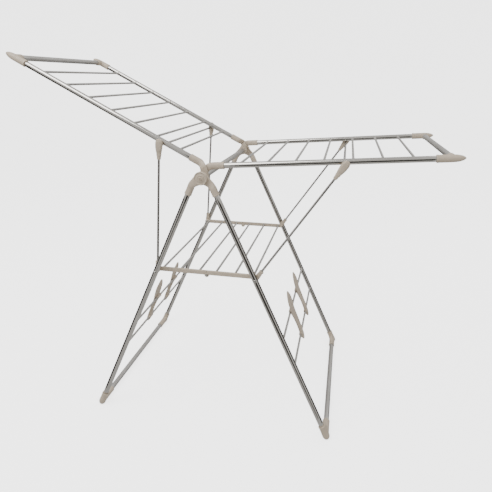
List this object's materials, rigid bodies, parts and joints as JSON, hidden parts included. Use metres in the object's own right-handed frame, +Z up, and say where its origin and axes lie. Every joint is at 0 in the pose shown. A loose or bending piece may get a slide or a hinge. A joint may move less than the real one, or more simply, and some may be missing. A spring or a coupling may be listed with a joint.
{
  "type": "clothes drying rack",
  "caption": "Folding winged clothes drying rack: crossed tube legs on one hub, hinged rod wings held by wire struts, a folding shelf and shoe holders.",
  "frame": {"origin": "on the floor, at the middle of the bounding box", "axes": "+X towards the lower right wing, -Y is the front that the picture shows, +Z up"},
  "size_m": [1.4796, 0.634, 1.3118],
  "materials": {
    "polished_steel": "bright polished stainless steel tube and wire",
    "satin_steel": "satin stainless steel rod",
    "beige_plastic": "warm beige moulded plastic, fine satin texture"
  },
  "bodies": {
    "left_leg_frame": {"hub_axle": "polished_steel", "hub_cross_tube": "polished_steel", "left_leg_tube_front": "polished_steel", "left_leg_tube_rear": "polished_steel", "left_leg_arm_front": "beige_plastic", "left_leg_arm_rear": "beige_plastic", "left_foot_corner_front": "beige_plastic", "left_foot_corner_rear": "beige_plastic", "left_shoe_holder_front": "beige_plastic", "left_shoe_holder_rear": "beige_plastic", "left_foot_bar": "satin_steel", "left_shoe_rod_upper": "satin_steel", "left_shoe_rod_lower": "satin_steel"},
    "left_wing": {"left_wing_arm_front": "beige_plastic", "left_wing_arm_rear": "beige_plastic", "left_wing_rail_front": "polished_steel", "left_wing_rail_rear": "polished_steel", "left_wing_corner_front": "beige_plastic", "left_wing_corner_rear": "beige_plastic", "left_wing_end_bar": "satin_steel", "left_wing_rod_1": "satin_steel", "left_wing_rod_2": "satin_steel", "left_wing_rod_3": "satin_steel", "left_wing_rod_4": "satin_steel", "left_wing_rod_5": "satin_steel", "left_wing_rod_6": "satin_steel", "left_wing_rod_7": "satin_steel"},
    "left_strut": {"left_strut_wire": "polished_steel", "left_strut_clip_front": "beige_plastic", "left_strut_clip_rear": "beige_plastic"},
    "shelf_left": {"shelf_left_half": "satin_steel"},
    "right_leg_frame": {"right_leg_tube_front": "polished_steel", "right_leg_tube_rear": "polished_steel", "right_leg_arm_front": "beige_plastic", "right_leg_arm_rear": "beige_plastic", "right_foot_corner_front": "beige_plastic", "right_foot_corner_rear": "beige_plastic", "right_shoe_holder_front": "beige_plastic", "right_shoe_holder_rear": "beige_plastic", "right_foot_bar": "satin_steel", "right_shoe_rod_upper": "satin_steel", "right_shoe_rod_lower": "satin_steel"},
    "right_wing": {"right_wing_arm_front": "beige_plastic", "right_wing_arm_rear": "beige_plastic", "right_wing_rail_front": "polished_steel", "right_wing_rail_rear": "polished_steel", "right_wing_corner_front": "beige_plastic", "right_wing_corner_rear": "beige_plastic", "right_wing_end_bar": "satin_steel", "right_wing_rod_1": "satin_steel", "right_wing_rod_2": "satin_steel", "right_wing_rod_3": "satin_steel", "right_wing_rod_4": "satin_steel", "right_wing_rod_5": "satin_steel", "right_wing_rod_6": "satin_steel", "right_wing_rod_7": "satin_steel"},
    "right_strut": {"right_strut_wire": "polished_steel", "right_strut_clip_front": "beige_plastic", "right_strut_clip_rear": "beige_plastic"},
    "shelf_right": {"shelf_right_half": "satin_steel"}
  },
  "joints": [
    {"name": "leg_fold", "type": "hinge", "parent": "left_leg_frame", "child": "right_leg_frame", "pos_m": [-0.04999, 0, 0.913], "axis": [0, 1, 0], "range_deg": [0, 48.43]},
    {"name": "shelf_left_pivot", "type": "hinge", "parent": "left_leg_frame", "child": "shelf_left", "pos_m": [-0.22537, 0, 0.57302], "axis": [0, -1, 0], "range_deg": [0, 61.53]},
    {"name": "shelf_middle_hinge", "type": "hinge", "parent": "shelf_left", "child": "shelf_right", "pos_m": [-0.04999, 0, 0.56552], "axis": [0, 1, 0], "range_deg": [0, 171.48]},
    {"name": "left_wing_fold", "type": "hinge", "parent": "left_leg_frame", "child": "left_wing", "pos_m": [-0.04999, 0, 0.913], "axis": [0, -1, 0], "range_deg": [0, 90.28]},
    {"name": "right_wing_fold", "type": "hinge", "parent": "right_leg_frame", "child": "right_wing", "pos_m": [-0.04999, 0, 0.913], "axis": [0, 1, 0], "range_deg": [0, 66.78]},
    {"name": "left_strut_swing", "type": "hinge", "parent": "left_leg_frame", "child": "left_strut", "pos_m": [-0.22537, 0, 0.57302], "axis": [0, -1, 0], "range_deg": [0, 156.02]},
    {"name": "right_strut_swing", "type": "hinge", "parent": "right_leg_frame", "child": "right_strut", "pos_m": [0.12539, 0, 0.57302], "axis": [0, 1, 0], "range_deg": [0, 117.52]}
  ],
  "couplings": [
    {"joint": "shelf_left_pivot", "follows": "leg_fold", "ratio": 1.2705},
    {"joint": "shelf_middle_hinge", "follows": "leg_fold", "ratio": 3.5408},
    {"joint": "left_strut_swing", "follows": "left_wing_fold", "ratio": 1.7282},
    {"joint": "right_strut_swing", "follows": "right_wing_fold", "ratio": 1.7598}
  ]
}
